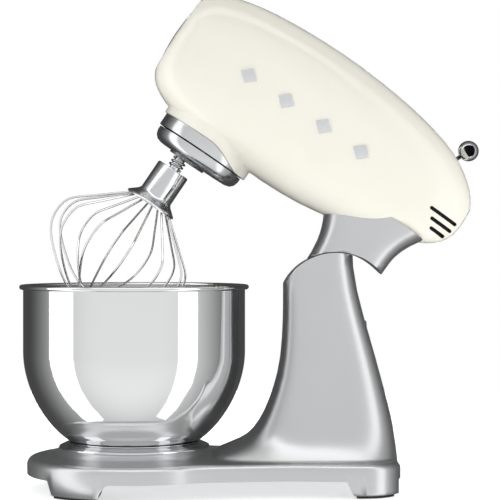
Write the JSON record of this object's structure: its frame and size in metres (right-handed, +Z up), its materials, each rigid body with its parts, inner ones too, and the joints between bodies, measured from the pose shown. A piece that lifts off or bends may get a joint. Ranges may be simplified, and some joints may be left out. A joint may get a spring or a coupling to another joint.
{
  "type": "stand mixer",
  "caption": "Tilt-head kitchen stand mixer, head raised, with a wire whisk on a planetary hub, a polished steel bowl, a speed lever and a front power outlet under a cap.",
  "frame": {"origin": "centre of the bounding box at worktop level, under the rubber feet", "axes": "+Z up, the head points towards -X, the tilt axis lies along Y"},
  "size_m": [0.4447, 0.2218, 0.4745],
  "materials": {
    "stand_paint": "satin silver paint on die-cast aluminium",
    "head_enamel": "gloss cream paint on die-cast metal",
    "polished_steel": "mirror-polished stainless steel",
    "chrome": "bright chrome plate",
    "steel": "plain ground steel",
    "zinc": "zinc-plated steel",
    "satin_aluminium": "fine satin aluminium",
    "cast_aluminium": "raw die-cast aluminium",
    "rubber": "matt black rubber",
    "bronze": "sintered bronze",
    "copper": "copper",
    "lamination": "stacked sheet steel",
    "black_plastic": "matt black plastic",
    "board": "green solder mask"
  },
  "bodies": {
    "stand": {"stand_casting": "stand_paint", "base_plate": "zinc", "base_plate_screws": "zinc", "rubber_feet": "rubber", "bowl_clamp_ring": "chrome", "hinge_bushes": "bronze", "cord_gland": "rubber"},
    "bowl": {"mixing_bowl": "polished_steel", "bowl_foot_ring": "polished_steel"},
    "head": {"head_shell": "head_enamel", "neck_casting": "stand_paint", "neck_bolts": "zinc", "hinge_pin": "steel", "head_chassis": "cast_aluminium", "hub_ring": "satin_aluminium", "ring_gear": "steel", "shaft_bearings": "steel", "motor_can": "zinc", "motor_lid": "zinc", "stator_core": "lamination", "motor_bearings": "steel", "control_board": "board", "board_parts": "black_plastic", "lever_pin": "steel", "outlet_socket": "cast_aluminium", "rear_plate": "chrome", "head_ornaments": "chrome", "vent_liner": "black_plastic", "drive_belt": "rubber"},
    "hub_carrier": {"planet_carrier": "satin_aluminium", "drive_shaft": "steel", "hub_pulley": "cast_aluminium", "planet_bush": "bronze"},
    "whisk": {"planet_shaft": "satin_aluminium", "planet_pinion": "steel", "whisk_collar": "satin_aluminium", "whisk_wires": "polished_steel", "whisk_hub": "satin_aluminium", "whisk_pin": "steel", "shaft_spring": "steel"},
    "motor": {"motor_shaft": "steel", "rotor_core": "lamination", "commutator": "copper", "cooling_fan": "black_plastic", "motor_pulley": "steel"},
    "speed_control": {"speed_lever": "chrome", "lever_knob": "chrome"},
    "front_cover": {"front_cap": "chrome"},
    "button": {"release_button": "satin_aluminium"}
  },
  "joints": [
    {"name": "head_tilt", "type": "hinge", "parent": "stand", "child": "head", "pos_m": [0.082, 0, 0.1707], "axis": [0, -1, 0], "range_deg": [0, 34]},
    {"name": "bowl_twist", "type": "hinge", "parent": "stand", "child": "bowl", "pos_m": [-0.112, 0, 0.04], "axis": [0, 0, 1], "range_deg": [0, 25]},
    {"name": "hub_spin", "type": "hinge", "parent": "head", "child": "hub_carrier", "pos_m": [-0.05087, 0, 0.32064], "axis": [0.5592, 0, 0.829], "continuous": true},
    {"name": "whisk_spin", "type": "hinge", "parent": "hub_carrier", "child": "whisk", "pos_m": [-0.07669, -0.01968, 0.30186], "axis": [0.5592, 0, 0.829], "continuous": true},
    {"name": "motor_spin", "type": "hinge", "parent": "head", "child": "motor", "pos_m": [0.0662, 0, 0.3261], "axis": [0.5592, 0, 0.829], "continuous": true},
    {"name": "speed_select", "type": "hinge", "parent": "head", "child": "speed_control", "pos_m": [0.14976, 0, 0.28349], "axis": [0, -1, 0], "range_deg": [0, 16]},
    {"name": "cap_pull", "type": "slide", "parent": "head", "child": "front_cover", "axis": [-0.829, 0, 0.5592], "range_m": [0, 0.03]},
    {"name": "button_press", "type": "slide", "parent": "stand", "child": "button", "axis": [-1, 0, 0], "range_m": [0, 0.003], "stiffness_N_per_m": 600}
  ],
  "couplings": [
    {"joint": "whisk_spin", "follows": "hub_spin", "ratio": -3},
    {"joint": "motor_spin", "follows": "hub_spin", "ratio": 5}
  ]
}
